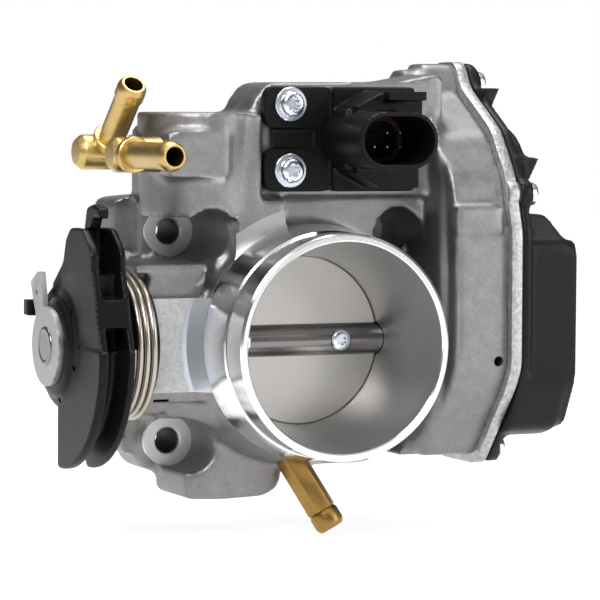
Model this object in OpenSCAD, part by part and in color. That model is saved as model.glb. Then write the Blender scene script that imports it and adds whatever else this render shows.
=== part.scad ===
// Cable-operated throttle body with an idle actuator housing.
// X runs along the throttle shaft, from the cable pulley (-X) to the actuator (+X).
// +Y is the bore axis, from the air inlet towards the intake manifold, and +Z is up.
// The origin is the centre of the bolt pattern, flange_back in front of the manifold face.

/* [Air passage] */
// Length from the origin to the inlet mouth
body_len = 74; // [72:0.5:76]
// Diameter of the throat at the plate
throat_d = 52; // [50:0.5:53]
// Diameter of the bore at the inlet mouth
mouth_d = 63; // [62:0.5:64]
// Outer diameter of the hose spigot
spigot_d = 68; // [67.6:0.1:68.4]

/* [Throttle] */
// Distance from the origin to the shaft axis
shaft_back = 38.5; // [38:0.1:39]
// Diameter of the shaft where it crosses the bore
shaft_d = 10; // [9.6:0.1:10]
// Diameter of the shaft's journal on the pulley side
journal_d = 8; // [7.6:0.1:8]
// Thickness of the throttle plate
plate_t = 2; // [1.5:0.1:2.2]

/* [Manifold flange] */
// Distance between neighbouring bolt holes
bolt_pitch = 65; // [64:0.5:66]
// Diameter of each bolt hole
bolt_hole_d = 8.2; // [8:0.1:8.6]
// Height of the bolt seats above the origin
bolt_seat = 12; // [11:0.5:13]
// Distance from the origin back to the manifold face
flange_back = 8; // [7:0.5:9]

/* [Cable pulley] */
// Radius of the two pulley flanges
pulley_r = 36.5; // [35:0.5:37]
// Outer radius of the return spring's coils
spring_r = 22.8; // [22:0.1:23]
// Diameter of the spring wire
spring_wire = 2; // [1.8:0.1:2.1]

/* [Hose fittings] */
// Diameter of the hose nipples
nipple_d = 8; // [7.6:0.1:8.4]
// Diameter of the bead at the end of each nipple
bead_d = 8.9; // [8.6:0.1:9.2]
// Diameter of the hole through each nipple
nipple_bore = 5.6; // [5:0.1:6]

/* [Actuator] */
// X of the face that the cover sits on
cover_x = 64; // [63.5:0.1:64.5]
// Gear module of the idle actuator's gear train
gear_m = 0.8; // [0.8:0.1:0.8]

/* [Hidden] */
$fn = 64;
eps = 0.01;
shaft_y = -shaft_back;
half_pitch = bolt_pitch / 2;
// Running gap between the shaft and what carries it, on the radius.
run_gap = 0.05;

// ---- gear train: throttle shaft, intermediate gear, motor ----
pinion_teeth = 10;
wheel_teeth = 45;
segment_teeth = 100;
pinion_r = gear_m * pinion_teeth / 2;
wheel_r = gear_m * wheel_teeth / 2;
segment_r = gear_m * segment_teeth / 2;
gear_back = 7;
gear_y = shaft_y + gear_back;
gear_z = sqrt(pow(segment_r + pinion_r, 2) - gear_back * gear_back);
motor_lean = 22;
motor_y = gear_y - (wheel_r + pinion_r) * sin(motor_lean);
motor_z = gear_z - (wheel_r + pinion_r) * cos(motor_lean);
// X spans of the two gear planes.
plane1_x = 48;
plane1_w = 3;
plane2_x = 51.6;
plane2_w = 3.4;

// ---- pulley side, X positions ----
block_x = -53;
pulley_in = -67;
pulley_out = -78;
hub_in = -63.4;
washer_x = -80.4;
washer_t = 1.6;

// ---- outlines in the YZ plane, listed anticlockwise as [y, z] ----
rim_pts = [[-9, 85.5], [-22, 85.7], [-27, 77.5], [-47.4, 64.8], [-57.5, 51], [-63.2, 33], [-63.4, -8.5],
  [-59.5, -15.5], [-39, -40.5], [-15, -40.5], [-6, -30], [-6, 78]];
outer_pts = [[-18, 30.5], [-58, 30.5], [-60.2, 27], [-60.2, -13], [-53, -27.5], [-44, -30], [-18, -30]];
bulge_pts = [[-16, 38], [-46, 38], [-60, 30], [-60.4, -14], [-53, -29], [-44, -31.5], [-16, -31.5]];

// Unit vector from a to b.
function dir2(a, b) = (b - a) / norm(b - a);
function left_of(d) = [-d[1], d[0]];
// Corner c moved inwards by d, between its neighbours p and n.
function inset_corner(p, c, n, d) = let (n1 = left_of(dir2(p, c)), n2 = left_of(dir2(c, n)))
  c + (n1 + n2) * d / (1 + n1 * n2);
function inset(pts, d) = let (k = len(pts))
  [for (i = [0 : k - 1]) inset_corner(pts[(i + k - 1) % k], pts[i], pts[(i + 1) % k], d)];
// Quadratic blend over corner c that starts and ends r away from it, or nearer on a short edge.
function blend_corner(p, c, n, r, steps) = let (q = min(r, 0.45 * norm(p - c), 0.45 * norm(n - c)),
  a = c + dir2(c, p) * q, b = c + dir2(c, n) * q)
  [for (s = [0 : steps]) let (t = s / steps) a * (1 - t) * (1 - t) + c * 2 * t * (1 - t) + b * t * t];
function rounded(pts, r, steps = 4) = let (k = len(pts))
  [for (i = [0 : k - 1]) each blend_corner(pts[(i + k - 1) % k], pts[i], pts[(i + 1) % k], r, steps)];
// Corners of a rectangle from its centre and full size.
function rect(cx, cy, w, h) = [[cx + w / 2, cy + h / 2], [cx - w / 2, cy + h / 2],
  [cx - w / 2, cy - h / 2], [cx + w / 2, cy - h / 2]];

// ---- drawing helpers ----
// Extrudes a YZ outline from x0 to x1.
module along_x(x0, x1, pts) {
  translate([x0, 0, 0]) rotate([90, 0, 90]) linear_extrude(x1 - x0) polygon(pts);
}
// Extrudes an XZ outline from the depth y0 back to y1.
module along_y(y0, y1, pts) {
  translate([0, y1, 0]) rotate([90, 0, 0]) linear_extrude(y1 - y0) polygon(pts);
}
// Round bar along X around (y, z).
module bar_x(x0, x1, r, y = shaft_y, z = 0) {
  translate([x0, y, z]) rotate([0, 90, 0]) cylinder(r = r, h = x1 - x0);
}
// Round bar along Y around (x, z), from y0 back to y1.
module bar_y(y0, y1, r, x = 0, z = 0) {
  translate([x, y1, z]) rotate([90, 0, 0]) cylinder(r = r, h = y1 - y0);
}
// Box given by its lowest and highest corners.
module span(lo, hi) {
  translate(lo) cube(hi - lo);
}
// Ring of revolution about the bore axis from [radius, distance in front of the origin].
module about_bore(profile) {
  rotate([90, 0, 0]) rotate_extrude($fn = 128) polygon(profile);
}
// Ring of revolution about the shaft axis from [radius, X].
module about_shaft(profile) {
  translate([0, shaft_y, 0]) rotate([0, 90, 0]) rotate_extrude($fn = 96) polygon(profile);
}
// Everything at the four bolt centres.
module at_bolts() {
  for (sx = [-1, 1]) {
    for (sz = [-1, 1]) {
      translate([sx * half_pitch, 0, sz * half_pitch]) children();
    }
  }
}

// ---- involute gears ----
pressure = 25;
tooth_gap = 0.05;
function inv_angle(rb, r) = let (a = acos(min(1, rb / r))) tan(a) * 180 / PI - a;
// Half of the tooth's angle at radius r, for a gear of pitch radius rp and n teeth.
function half_angle(rp, n, r) = 90 / n - tooth_gap / rp * 180 / PI
  + inv_angle(rp * cos(pressure), rp) - inv_angle(rp * cos(pressure), max(r, rp * cos(pressure)));
function polar(r, a) = [r * cos(a), r * sin(a)];
function tooth(rp, n, c) = let (ra = rp + 0.8 * gear_m, rd = rp - 1.15 * gear_m, rm = (rp + ra) / 2)
  [polar(rd, c - half_angle(rp, n, rd)),
   polar(rp - 0.45 * gear_m, c - half_angle(rp, n, rp - 0.45 * gear_m)),
   polar(rp, c - half_angle(rp, n, rp)), polar(rm, c - half_angle(rp, n, rm)),
   polar(ra, c - half_angle(rp, n, ra)), polar(ra, c + half_angle(rp, n, ra)),
   polar(rm, c + half_angle(rp, n, rm)), polar(rp, c + half_angle(rp, n, rp)),
   polar(rp - 0.45 * gear_m, c + half_angle(rp, n, rp - 0.45 * gear_m)),
   polar(rd, c + half_angle(rp, n, rd))];
// Teeth i0 to i1 of an n-tooth gear; the first tooth points at angle a0.
function teeth(rp, n, a0, i0, i1) = [for (i = [i0 : i1]) each tooth(rp, n, a0 + i * 360 / n)];
// Extrudes a gear outline, drawn about its own centre, at (y, z).
module gear_at(x0, x1, y, z, pts) {
  translate([x0, y, z]) rotate([90, 0, 90]) linear_extrude(x1 - x0) polygon(pts);
}
// Angles, in the YZ plane, of the lines between the gear centres.
mesh_gs = atan2(gear_z, gear_y - shaft_y);
mesh_gm = atan2(motor_z - gear_z, motor_y - gear_y);

// ================= casting =================
module barrel() {
  r = spigot_d / 2;
  about_bore([[0, -flange_back], [36.5, -flange_back], [36.5, 10], [35, 12], [35, body_len - 28],
    [36, body_len - 24.5], [36, body_len - 24], [r + 0.3, body_len - 12.6], [r - 0.4, body_len - 12],
    [r - 0.1, body_len - 11], [r - 0.1, body_len - 5.6], [r, body_len - 5.5], [r, body_len - 0.5],
    [r - 0.5, body_len], [0, body_len]]);
}
// Cone that joins the flange to the barrel, cut by the bolt pockets.
module flare() {
  intersection() {
    about_bore([[0, -5], [48, -5], [48, 8], [38, 36], [35, 45], [0, 45]]);
    along_y(-46, 0, rect(0, 0, 84, 84));
  }
}
// The lathe's path behind the rim: it also faces the shaft block.
module lathe_cut() {
  about_bore([[36, body_len - 24.5], [39.5, body_len - 29], [41, body_len - 29], [41, body_len + 1],
    [38, body_len + 1], [38, body_len - 24]]);
}
module bore_cut() {
  r = throat_d / 2;
  about_bore([[0, -flange_back - 1], [r, -flange_back - 1], [r, shaft_back + 1.5],
    [mouth_d / 2, body_len - 0.4], [mouth_d / 2 + 0.5, body_len + 0.1], [0, body_len + 0.1]]);
}
module flange() {
  along_y(-9.5, flange_back, rounded(rect(0, 0, bolt_pitch + 20, bolt_pitch + 20), 9));
  along_y(-9.5, flange_back, rounded([[-34, 44], [-50, 42.5], [-50, 27], [-34, 25]], 3));
  along_y(-9.5, flange_back, rounded([[-34, -24], [-46, -24], [-47, -36], [-34, -38.5]], 2));
  at_bolts() bar_y(-bolt_seat, 0, 8.9);
  along_y(-bolt_seat, -5, [[-41.4, 41], [-41.4, 24.8], [-27, 24.8], [-23.4, 28.6], [-23.4, 41]]);
  along_y(-bolt_seat, -5, [[-40.8, -25], [-40.8, -41], [-24, -41], [-24, -25]]);
}
module shaft_block() {
  span([block_x, -45, -14.4], [-30, -22, 13.8]);
  span([block_x, -42.5, -18], [-33, -20, -14.3]);
  along_x(block_x, -34, [[-20, 24.6], [-47.5, 24.6], [-49, 23.4], [-48.6, 21.6], [-43.5, 13.8], [-20, 13.7]]);
  along_x(block_x - 4, block_x + eps, [[-46, 24.6], [-47.5, 24.6], [-49, 23.4], [-48.6, 21.6], [-46, 22]]);
  span([-46, -22, -30], [-33, -5, 30]);
  bar_x(-62, block_x + eps, 7.8);
}
module lower_boss() {
  along_y(-32, -6, rounded([[-2.5, -28], [-34.5, -28], [-34.5, -48.6], [-22, -49.3], [-7, -48.6],
    [-2.5, -45]], 2.5));
  bar_y(-30, -22, 4.5, 0.5, -36.5);
}
tower_x = -30;
tower_y = -31;
module tower() {
  translate([tower_x, tower_y, 38]) cylinder(r1 = 18, r2 = 19, h = 31.4);
  along_y(-48, -12, rounded([[-11.5, 69.2], [-24, 69.2], [-24, 20], [-6, 20]], 2));
  along_y(-22, -9, rounded([[-12, 66], [-44, 66], [-44, 30], [-12, 30]], 4));
}
module port_bosses() {
  along_y(-50.5, -36, rounded([[-28, 64], [-48, 63.6], [-48, 50], [-28, 49.7]], 2.5));
  bar_x(-47, -30, 5.5, front_y, front_z);
  bar_x(-52, -34, 5.2, rear_y, rear_z);
}
// Pocket that clears the bolt, its seat and the tool that tightens it.
module bolt_access(sx, sz) {
  bar_y(-70, -bolt_seat, 7.9, sx * half_pitch, sz * half_pitch);
}
module connector_pad() {
  along_y(-44, -22, rounded([[46, 82], [30, 79], [-13, 78.6], [-18.6, 72], [-18.6, 44], [46, 44]], 3));
  along_y(-41, -12, rounded([[46, 50], [-16, 50], [-16, 30], [46, 30]], 2));
  span([-15, -43, 34], [-12, -30, 46]);
}
shoulder_pts = [[-14, 76], [-44, 72], [-52, 45], [-54, 10], [-50, -20], [-38, -36], [-14, -36]];
// Milled recess that the connector's bracket sits in.
module connector_seat() {
  span([-16.2, -60, 43], [41.5, -44, 84]);
}
// Gear chamber: walls, rim flange and the rib that crosses its front.
module chamber() {
  along_x(43, 61, rounded(inset(rim_pts, 2.6), 3));
  along_x(60.6, cover_x, rounded(rim_pts, 3));
  along_x(50, 61, rounded([[-9, 85], [-21, 85], [-25, 76], [-9, 74]], 2));
  span([42, -62.2, 33], [58, -57, 41]);
  span([24, -40, 43], [44, -9, 79]);
  span([36, -30, -38], [44, -2, 44]);
  along_x(41, 43.5, rounded(shoulder_pts, 6));
}
module chamber_cut() {
  along_x(46.6, cover_x + 1, rounded(inset(rim_pts, 5.4), 3));
}
screw_posts = [[-20.5, 79], [-57, 44.8], [-36.5, -35.8], [-11, 70], [-11.5, -30]];
module main_body() {
  color("#a9abad") difference() {
    union() {
      difference() {
        union() {
          flange();
          flare();
          shaft_block();
          lower_boss();
          tower();
          port_bosses();
          connector_pad();
          chamber();
        }
        lathe_cut();
        bolt_access(-1, 1);
        bolt_access(-1, -1);
        bolt_access(1, 1);
        bolt_access(1, -1);
        chamber_cut();
        connector_seat();
      }
      barrel();
      bar_x(36, 47.6, 13);
      for (p = screw_posts) {
        bar_x(46, cover_x, 4.2, p[0], p[1]);
      }
      bar_x(46, plane1_x - 0.4, 4, gear_y, gear_z);
    }
    bore_cut();
    at_bolts() bar_y(-30, flange_back + 1, bolt_hole_d / 2);
    // shaft passage, bush seat, seal seats and bearing seat
    bar_x(-64, 0, journal_d / 2 + 0.3);
    bar_x(-35, 60, shaft_d / 2 + 0.3);
    bar_x(-50, -36, 5);
    bar_x(-63, -50, 5.5);
    bar_x(41, 50, 9.5);
    bar_x(37, 41, 8);
    // ports for the three hose fittings
    bar_x(-60, -34, 4.5, front_y, front_z);
    bar_x(-60, -38, 4.5, rear_y, rear_z);
    on_lower_axis() translate([0, 0, -2]) cylinder(r = 4, h = 12);
    on_lower_axis() translate([0, 0, 4.9]) cylinder(r = 4.9, h = 12);
    // threads for the connector and cover screws, and the gear pin's hole
    for (z = connector_screw_z) {
      bar_y(-50, -30, 2, connector_screw_x, z);
    }
    for (p = screw_posts) {
      bar_x(52, cover_x + 1, 1.6, p[0], p[1]);
    }
    bar_x(44, 50, 1.5, gear_y, gear_z);
    // drain in the chamber's front wall, and the slot below the shaft block
    bar_y(-64, -50, 1.6, 57.6, -6.5);
    span([-49, -44, -17.4], [-44, -38, -16.6]);
  }
}

// ================= throttle =================
// X of the two screws that hold the plate.
plate_screw_x = [-21, 12];
module throttle_shaft() {
  color("#4d4b49") difference() {
    union() {
      bar_x(-34, 45.6, shaft_d / 2);
      bar_x(-82.1, -33.9, journal_d / 2);
      bar_x(-82.4, washer_x - washer_t, 5.4);
      bar_x(45.5, 57.6, 3.5);
    }
    span([-26.2, shaft_y - plate_t / 2, -6], [26.2, shaft_y + plate_t / 2, 6]);
    for (x = plate_screw_x) {
      bar_y(shaft_y - 6, shaft_y + 6, 2, x);
      bar_y(shaft_y - 6, shaft_y - 4.2, 3.3, x);
    }
  }
}
module throttle_plate() {
  color("#b9b7b2") difference() {
    bar_y(shaft_y - plate_t / 2, shaft_y + plate_t / 2, throat_d / 2 - 0.15);
    for (x = plate_screw_x) {
      bar_y(shaft_y - 3, shaft_y + 3, 2, x);
    }
  }
}
module plate_screws() {
  color("#c8cdd4") for (x = plate_screw_x) {
    difference() {
      union() {
        bar_y(shaft_y - 5.9, shaft_y - 4.2, 3.25, x);
        bar_y(shaft_y - 4.3, shaft_y + 4.9, 2, x);
      }
      translate([x, shaft_y - 4.9, 0]) rotate([90, 0, 0]) cylinder(r = 1.3, h = 2, $fn = 6);
    }
  }
}
module shaft_bush() {
  color("#8f7a4c") difference() {
    bar_x(-50, -36, 5);
    bar_x(-51, -35, journal_d / 2 + run_gap);
  }
}
module shaft_bearing() {
  color("#b4b7ba") difference() {
    bar_x(41, 46.6, 9.5);
    bar_x(40, 48, shaft_d / 2 + run_gap);
    about_shaft([[6.7, 40], [7.9, 40], [7.9, 41.5], [6.7, 41.5]]);
    about_shaft([[6.7, 46.1], [7.9, 46.1], [7.9, 48], [6.7, 48]]);
  }
}
module pulley_seal() {
  color("#26262a") difference() {
    bar_x(-54, -50, 5.5);
    bar_x(-55, -49, journal_d / 2 + run_gap);
  }
}
module bearing_seal() {
  color("#26262a") difference() {
    bar_x(37, 41, 8);
    bar_x(36, 42, shaft_d / 2 + run_gap);
  }
}

// ================= pulley side =================
groove_out = pulley_out + 2.8;
groove_in = pulley_in - 1.8;
cheek_pts = [[-44, 32], [-48, 35.5], [-58, 35.5], [-64, 31], [-66.5, 28], [-66, 24], [-69.5, 15], [-72, 6],
  [-74.5, 0], [-38.5, 0], [-32, 18], [-41.5, 25]];
// One quarter of the pulley below and in front of the shaft.
module quadrant(profile) {
  intersection() {
    about_shaft(profile);
    along_x(pulley_out - 3, pulley_in + 3, rounded([[shaft_y, 0.5], [shaft_y - 40, 0.5], [shaft_y - 40, -40],
      [shaft_y, -40]], 1.5));
  }
}
module hub_bore() {
  bar_x(pulley_out - 6, hub_in + 1, journal_d / 2);
}
module cable_pulley() {
  color("#1b1b1d") difference() {
    union() {
      // domed hub
      about_shaft([[0, washer_x], [12.6, washer_x], [14.2, -80], [15, -78.6], [17.6, -77.6], [19.2, -75.8],
        [19.8, -73.4], [24.5, -73], [24.5, -68.2], [21.6, -67], [21.6, hub_in - 2],
        [12, hub_in], [0, hub_in]]);
      // flanges with a V groove between them
      quadrant([[20, pulley_out], [pulley_r - 0.8, pulley_out], [pulley_r, pulley_out + 0.8],
        [pulley_r, groove_out], [pulley_r - 6.5, -73.2], [pulley_r - 6.5, -71], [pulley_r, groove_in],
        [pulley_r, pulley_in - 0.5], [pulley_r - 0.5, pulley_in], [20, pulley_in]]);
      // cheeks of the cable-end holder
      along_x(pulley_out + 0.4, groove_out, rounded(cheek_pts, 1.4, 3));
      along_x(groove_in, pulley_in, rounded(cheek_pts, 1.4, 3));
      // floor of the groove above the quadrant, stop block and bridge of the holder
      along_x(groove_out - eps, groove_in + eps, [[-62, 22], [-60, 0], [-44, 0], [-44, 22]]);
      along_x(groove_out - eps, groove_in + eps, [[-69.4, 15.4], [-71.6, 7.4], [-60, 7.4], [-60, 15.4]]);
      along_x(groove_out - eps, groove_in + eps, [[-44.5, 32], [-50, 35], [-50, 22], [-44.5, 22]]);
      // hook over the cable end
      along_x(-73.4, -70.2, rounded([[-48, 35], [-50, 41.4], [-55, 42.6], [-61, 41.4], [-61, 38.4],
        [-56, 38.8], [-54, 35]], 0.8, 2));
      // peg beside the washer tab
      span([-83, -25.4, 8.2], [-74, -21.6, 13]);
    }
    hub_bore();
    bar_x(-81, -78.4, 0.9, shaft_y - 16.4, -7);
  }
}
tab_pts = [[-34.2, 21.9], [-31.6, 21.8], [-25.4, 18.6], [-27.6, 13.4], [-29.6, 10], [-31, 5], [-37.6, 5],
  [-36.9, 12.3]];
module retaining_washer() {
  color("#a8a8a6") difference() {
    union() {
      bar_x(washer_x - washer_t, washer_x, 11.8);
      along_x(washer_x - washer_t, washer_x, rounded(tab_pts, 0.6, 2));
    }
    bar_x(washer_x - 3, washer_x + 1, journal_d / 2);
    bar_x(washer_x - 3, washer_x + 1, 0.8, -31, 15.4);
  }
}
spring_turns = 3.5;
spring_x0 = -62.3;
spring_pitch = 2.2;
spring_mean = spring_r - spring_wire / 2;
// Ring of the swept wire: coil angle a gives its centre.
wire_sides = 8;
coil_steps = spring_turns * 24;
function coil_ring(k) = let (a = k * 15, c = [spring_x0 + spring_pitch * k / 24, shaft_y, 0])
  [for (j = [0 : wire_sides - 1]) let (b = j * 360 / wire_sides, r = spring_mean + spring_wire / 2 * cos(b))
    c + [spring_wire / 2 * sin(b), r * cos(a), r * sin(a)]];
function tube_faces(rings, sides) = concat([[for (j = [sides - 1 : -1 : 0]) j]],
  [for (k = [0 : rings - 2]) for (j = [0 : sides - 1])
    [k * sides + j, k * sides + (j + 1) % sides, (k + 1) * sides + (j + 1) % sides, (k + 1) * sides + j]],
  [[for (j = [0 : sides - 1]) (rings - 1) * sides + j]]);
module return_spring() {
  rings = [for (k = [0 : coil_steps]) each coil_ring(k)];
  color("#8d8376") polyhedron(rings, tube_faces(coil_steps + 1, wire_sides));
}
module spring_spool() {
  color("#202022") difference() {
    about_shaft([[8, -62.4], [19.4, -62.4], [20, -61.8], [20, -53.6], [19.4, block_x], [8, block_x]]);
    bar_x(-70, -50, 7.8);
  }
}

// ================= hose fittings =================
front_y = -45;
front_z = 56.8;
rear_y = -24;
rear_z = 57.2;
// Hose nipple along +Z from its own origin, with a bead at the end.
module nipple(len, r_root) {
  rotate_extrude() polygon([[nipple_bore / 2, 0], [r_root, 0], [nipple_d / 2, 3], [nipple_d / 2, len - 6.4],
    [bead_d / 2, len - 5.2], [bead_d / 2, len - 1.8], [nipple_d / 2 - 0.4, len], [nipple_bore / 2, len]]);
}
module front_elbow() {
  color("#b9974a") difference() {
    union() {
      bar_x(-64.5, -48.2, 5.3, front_y, front_z);
      bar_x(-48.3, -36, 4.5, front_y, front_z);
      on_front_axis() translate([0, 0, 1]) cylinder(r = 5.4, h = 5.4);
    }
    bar_x(-60, -35, 2.8, front_y, front_z);
    on_front_axis() cylinder(r = 2.8, h = 20);
    on_front_axis() translate([0, 0, 4]) cylinder(r = nipple_d / 2, h = 20);
  }
}
module on_front_axis() {
  translate([-59.2, front_y, front_z]) rotate([90, 0, 0]) rotate([0, 6, 0]) children();
}
module front_nipple() {
  color("#c9a755") on_front_axis() translate([0, 0, 4]) nipple(27.5, nipple_d / 2);
}
module on_rear_axis() {
  translate([-57.6, rear_y, rear_z]) rotate([45, 3, 0]) children();
}
module rear_elbow() {
  color("#b9974a") difference() {
    union() {
      bar_x(-67.5, -52.1, 5.3, rear_y, rear_z);
      bar_x(-52.2, -40, 4.5, rear_y, rear_z);
      on_rear_axis() translate([0, 0, 1]) cylinder(r = 5.6, h = 5.6);
    }
    bar_x(-60, -39, 2.8, rear_y, rear_z);
    on_rear_axis() cylinder(r = 2.8, h = 20);
    on_rear_axis() translate([0, 0, 4]) cylinder(r = nipple_d / 2, h = 20);
  }
}
module rear_nipple() {
  color("#c9a755") on_rear_axis() translate([0, 0, 4]) nipple(25, nipple_d / 2);
}
// Lower nipple: leaves the barrel's underside, down, outwards and to the front.
module on_lower_axis() {
  translate([-3.5, -33, -32]) rotate([0, 180 - 33, -39]) children();
}
end_bead_pts = [[0, 0], [4.1, 0], [4.6, 0.8], [4.6, 4.4], [3.9, 6], [0, 6]];
module lower_nipple() {
  color("#8a5f22") on_lower_axis() difference() {
    union() {
      cylinder(r = 4, h = 5);
      translate([0, 0, 4.9]) cylinder(r = 4.7, h = 20, $fn = 6);
      translate([0, 0, 24.8]) rotate_extrude() polygon(end_bead_pts);
    }
    translate([0, 0, -1]) cylinder(r = nipple_bore / 2, h = 40);
  }
}

// ================= connector =================
connector_screw_x = -7.3;
connector_screw_z = [52, 72];
plug_x = 15.4;
plug_z = 61.5;
shroud_w = 25.8;
shroud_h = 17;
shroud_y = -77;
pin_pitch = 4.2;
// Stadium outline about (cx, cz).
function half_round(cx, cz, r, a0) = [for (a = [a0 : 11.25 : a0 + 180]) [cx + r * cos(a), cz + r * sin(a)]];
function stadium(cx, cz, w, h) = concat(half_round(cx + w / 2 - h / 2, cz, h / 2, -90),
  half_round(cx - w / 2 + h / 2, cz, h / 2, 90));
module connector_housing() {
  color("#1a1a1c") difference() {
    union() {
      along_y(-49, -44, rounded([[34, 77.4], [6.5, 77.4], [6.5, 45.6], [34, 45.6]], 1.5, 2));
      along_y(-47.5, -44, rounded([[7.5, 77.4], [-15.6, 77.4], [-15.6, 64.6], [7.5, 64.6]], 4, 5));
      along_y(-47.5, -44, rounded([[7.5, 58.8], [-15.6, 58.8], [-15.6, 45.6], [7.5, 45.6]], 4, 5));
      span([-12.5, -45.8, 58], [7.5, -44, 65.5]);
      span([2, -47.5, 58], [7.5, -44, 65.5]);
      along_y(shroud_y, -48.9, stadium(plug_x, plug_z, shroud_w, shroud_h));
      along_y(-58, -48.9, rounded(rect(plug_x + 3, plug_z, 25, 19), 3, 3));
      along_y(-62, -48.9, [[30, 76], [17, 76], [8.5, 71.5], [8.5, 69], [30, 69]]);
      along_y(-62, -48.9, [[29, 54], [8.5, 54], [8.5, 51.5], [17, 47], [29, 47]]);
      span([17, -66, 73.2], [29.5, -60, 76]);
    }
    along_y(shroud_y - 1, -52, stadium(plug_x, plug_z, shroud_w - 2.6, shroud_h - 2.6));
    for (z = connector_screw_z) {
      bar_y(-50, -43, 2.2, connector_screw_x, z);
    }
  }
}
module connector_pins() {
  color("#7c7f84") for (row = [0, 1]) {
    for (k = [0 : 3]) {
      if (row == 0 || k != 1) {
        x = plug_x + (k - 1.5) * pin_pitch;
        z = plug_z + (row - 0.5) * pin_pitch;
        span([x - 0.5, -64, z - 0.5], [x + 0.5, -52, z + 0.5]);
      }
    }
  }
}
module connector_seal() {
  color("#7a2d22") difference() {
    along_y(-54.5, -52, stadium(plug_x, plug_z, shroud_w - 2.6, shroud_h - 2.6));
    along_y(-55, -51, stadium(plug_x, plug_z, shroud_w - 5.8, shroud_h - 5.8));
  }
}
module connector_screws() {
  color("#c9ced6") for (z = connector_screw_z) {
    difference() {
      union() {
        bar_y(-48.6, -47.5, 5.2, connector_screw_x, z);
        bar_y(-51, -48.5, 3.75, connector_screw_x, z);
        bar_y(-47.6, -34, 2, connector_screw_x, z);
      }
      translate([connector_screw_x, -49.4, z]) rotate([90, 0, 0]) cylinder(r = 1.9, h = 3, $fn = 6);
    }
  }
}

// ================= actuator =================
gasket_t = 0.8;
cover_in = cover_x + gasket_t;
cover_top = 70.4;
dome_top = 72.6;
dome_r = 20.4;
bulge_mid = 81.5;
bulge_top = 85;
wall = 2;
module cover_solid(d) {
  along_x(cover_in + (d > 0 ? -1 : 2.6), cover_top - d, rounded(inset(rim_pts, 6.5 + d), 3));
  along_x(cover_in + (d > 0 ? -1 : 0), bulge_mid - d, rounded(inset(bulge_pts, d + 0.001), 3));
  along_x(cover_in, bulge_top - d, rounded(inset(outer_pts, d + 0.001), 3));
  bar_x(cover_in, dome_top - d, dome_r - d, gear_y, gear_z + 2);
}
// Stiffening fins as [y of the middle, z of the flat top, X of the tip].
fins = [[-30, 77.4, 71.6], [-51, 56, 74.8]];
module gear_cover() {
  color("#1c1c1e") difference() {
    union() {
      along_x(cover_in, cover_in + 3.4, rounded(inset(rim_pts, 0.4), 3));
      cover_solid(0);
      for (f = fins) {
        along_y(f[0] - 3, f[0] + 3, [[f[2], f[1]], [cover_in + 1, f[1]], [cover_in + 1, f[1] - 7],
          [f[2] - 3.5, f[1] - 7]]);
      }
      for (p = screw_posts) {
        bar_x(cover_in, cover_in + 4.2, 4.4, p[0], p[1]);
      }
    }
    difference() {
      cover_solid(wall);
      for (p = screw_posts) {
        bar_x(cover_in - 2, 90, 4.4 + wall, p[0], p[1]);
      }
      for (p = board_posts) {
        bar_x(board_x + board_t, 90, 2, p[0], p[1]);
      }
    }
    for (p = screw_posts) {
      bar_x(cover_in - 1, cover_in + 10, 1.8, p[0], p[1]);
      bar_x(cover_in + 4.2, 90, 4.4, p[0], p[1]);
    }
  }
}
module cover_gasket() {
  color("#2b2b2e") difference() {
    union() {
      difference() {
        along_x(cover_x, cover_in, rounded(inset(rim_pts, 0.8), 3));
        along_x(cover_x - 1, cover_in + 1, rounded(inset(rim_pts, 5.6), 3));
      }
      for (p = screw_posts) {
        bar_x(cover_x, cover_in, 4, p[0], p[1]);
      }
    }
    for (p = screw_posts) {
      bar_x(cover_x - 1, cover_in + 1, 1.8, p[0], p[1]);
    }
  }
}
module cover_screws() {
  color("#c9ced6") for (p = screw_posts) {
    difference() {
      union() {
        bar_x(cover_in + 4.2, cover_in + 6.6, 3.5, p[0], p[1]);
        bar_x(54, cover_in + 4.3, 1.6, p[0], p[1]);
      }
      translate([cover_in + 5.4, p[0], p[1]]) rotate([0, 90, 0]) cylinder(r = 1.7, h = 3, $fn = 6);
    }
  }
}
motor_r = 10.8;
motor_x = 57;
module idle_motor() {
  color("#8b8e92") {
    bar_x(motor_x, bulge_mid - wall, motor_r, motor_y, motor_z);
    bar_x(motor_x - 1.2, motor_x + eps, 4, motor_y, motor_z);
    bar_x(plane2_x, motor_x, 1, motor_y, motor_z);
  }
}
module motor_pinion() {
  color("#c8a13a") difference() {
    gear_at(plane2_x, plane2_x + plane2_w, motor_y, motor_z,
      teeth(pinion_r, pinion_teeth, mesh_gm + 180, 0, pinion_teeth - 1));
    bar_x(plane2_x - 1, plane2_x + 6, 1 + run_gap, motor_y, motor_z);
  }
}
module intermediate_gear() {
  color("#d8d3c4") difference() {
    union() {
      gear_at(plane2_x, plane2_x + plane2_w, gear_y, gear_z,
        teeth(wheel_r, wheel_teeth, mesh_gm + 180 / wheel_teeth, 0, wheel_teeth - 1));
      gear_at(plane1_x, plane2_x + eps, gear_y, gear_z,
        teeth(pinion_r, pinion_teeth, mesh_gs + 180, 0, pinion_teeth - 1));
    }
    bar_x(plane1_x - 1, plane2_x + 6, 1.5 + run_gap, gear_y, gear_z);
  }
}
module gear_pin() {
  color("#9a9c9f") bar_x(44, 58, 1.5, gear_y, gear_z);
}
segment_side = 6;
segment_pts = concat([polar(4, mesh_gs - 60), polar(segment_r - 6, mesh_gs - 19)],
  teeth(segment_r, segment_teeth, mesh_gs + 180 / segment_teeth, -segment_side, segment_side - 1),
  [polar(segment_r - 6, mesh_gs + 19), polar(4, mesh_gs + 60)]);
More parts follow.
